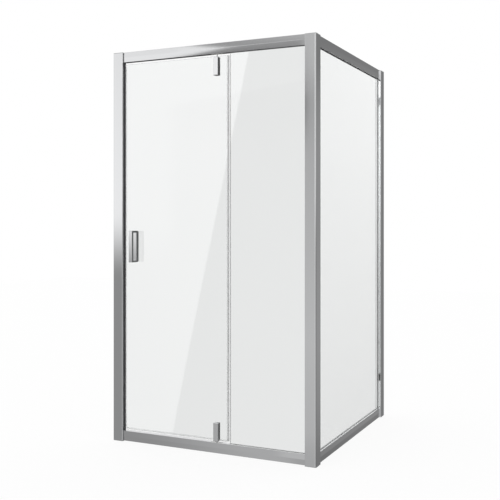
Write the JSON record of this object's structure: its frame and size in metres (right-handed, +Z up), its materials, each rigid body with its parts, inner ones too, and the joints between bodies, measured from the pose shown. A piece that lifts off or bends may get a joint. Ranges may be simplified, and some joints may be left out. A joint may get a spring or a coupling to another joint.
{
  "type": "hinged door shower enclosure",
  "caption": "Corner shower enclosure of clear glass in polished metal profiles, with an offset pivot door, an inline fixed pane, a fixed return pane and a loop handle.",
  "frame": {"origin": "centre of the bounding box on the floor, under the middle of the enclosure", "axes": "+X to the right along the front, +Y from the door front to the rear wall, +Z up"},
  "size_m": [1.074, 1.024, 1.9],
  "materials": {
    "polished_profile": "bright polished",
    "chrome_fitting": "polished",
    "clear_glass": "clear toughened",
    "clear_seal": "clear soft plastic",
    "dark_magnet": "matt magnetic strip",
    "grey_cap": "metallic grey",
    "screw_steel": "bright",
    "white_nylon": "moulded"
  },
  "bodies": {
    "frame": {"left_wall_channel": "polished_profile", "left_jamb": "polished_profile", "left_jamb_caps": "grey_cap", "rear_wall_channel": "polished_profile", "rear_jamb": "polished_profile", "rear_jamb_caps": "grey_cap", "jamb_fixing_screws": "screw_steel", "jamb_screw_caps": "grey_cap", "corner_post": "polished_profile", "corner_post_top_cap": "grey_cap", "corner_post_foot": "grey_cap", "front_bottom_rail": "polished_profile", "front_bottom_gasket": "clear_seal", "front_top_rail": "polished_profile", "front_top_gasket": "clear_seal", "side_bottom_rail": "polished_profile", "side_bottom_gasket": "clear_seal", "side_top_rail": "polished_profile", "side_top_gasket": "clear_seal", "rail_end_brackets": "white_nylon", "rail_anchor_screws": "screw_steel", "rail_clamp_screws": "screw_steel", "fixed_front_glass": "clear_glass", "side_glass": "clear_glass", "post_front_gasket": "clear_seal", "post_side_gasket": "clear_seal", "rear_jamb_gasket": "clear_seal", "bottom_rail_infills": "polished_profile", "bottom_pivot_block": "white_nylon", "bottom_pivot_bush": "white_nylon", "top_rail_infills": "polished_profile", "top_pivot_block": "white_nylon", "top_pivot_bush": "white_nylon", "pivot_block_screws": "screw_steel", "jamb_magnet_holder": "clear_seal", "jamb_magnet_strip": "dark_magnet"},
    "door": {"door_glass": "clear_glass", "door_magnet_seal": "clear_seal", "door_magnet_strip": "dark_magnet", "door_pivot_edge_seal": "clear_seal", "door_bottom_seal": "clear_seal", "bottom_hinge_cover": "chrome_fitting", "bottom_hinge_clamp": "chrome_fitting", "bottom_hinge_core": "screw_steel", "bottom_hinge_pads": "clear_seal", "bottom_pivot_pin": "screw_steel", "top_hinge_cover": "chrome_fitting", "top_hinge_clamp": "chrome_fitting", "top_hinge_core": "screw_steel", "top_hinge_pads": "clear_seal", "top_pivot_pin": "screw_steel", "hinge_clamp_screws": "screw_steel", "door_glass_sleeves": "white_nylon", "handle_loop": "chrome_fitting", "handle_pads": "clear_seal", "handle_inner_plate": "chrome_fitting", "handle_screws": "screw_steel"}
  },
  "joints": [
    {"name": "door_pivot", "type": "hinge", "parent": "frame", "child": "door", "pos_m": [0.033, -0.459, 0], "axis": [0, 0, 1], "range_deg": [0, 90]}
  ]
}
